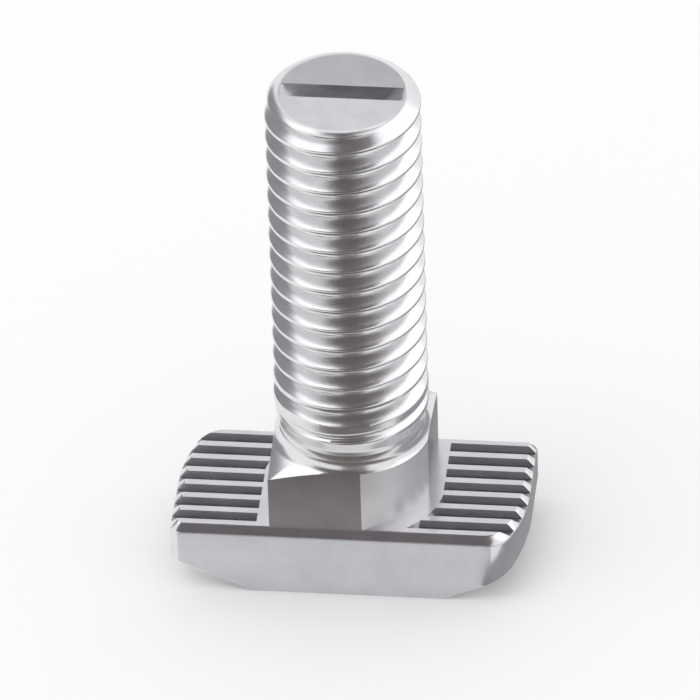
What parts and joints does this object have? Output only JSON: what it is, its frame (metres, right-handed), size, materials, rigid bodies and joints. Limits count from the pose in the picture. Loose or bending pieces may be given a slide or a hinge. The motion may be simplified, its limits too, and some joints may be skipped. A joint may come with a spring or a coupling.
{
  "type": "t slot bolt",
  "caption": "M8 x 25 hammer-head T-slot bolt with square neck, serrated bearing face and slotted thread end, nickel-plated steel",
  "frame": {"origin": "centre of the head's flat outer face, on the thread's axis; the bolt stands on this face", "axes": "+Z from the head up the thread; X along the head's long side; Y across the head. The corner of the head at +X, -Y and the one at -X, +Y are the rounded ones"},
  "size_m": [0.0184, 0.0088, 0.029],
  "materials": {
    "nickel_plated_steel": "satin nickel plating, finely brushed on the cut sides of the head"
  },
  "bodies": {
    "root": {"hammer_head_bolt": "nickel_plated_steel"}
  },
  "joints": []
}
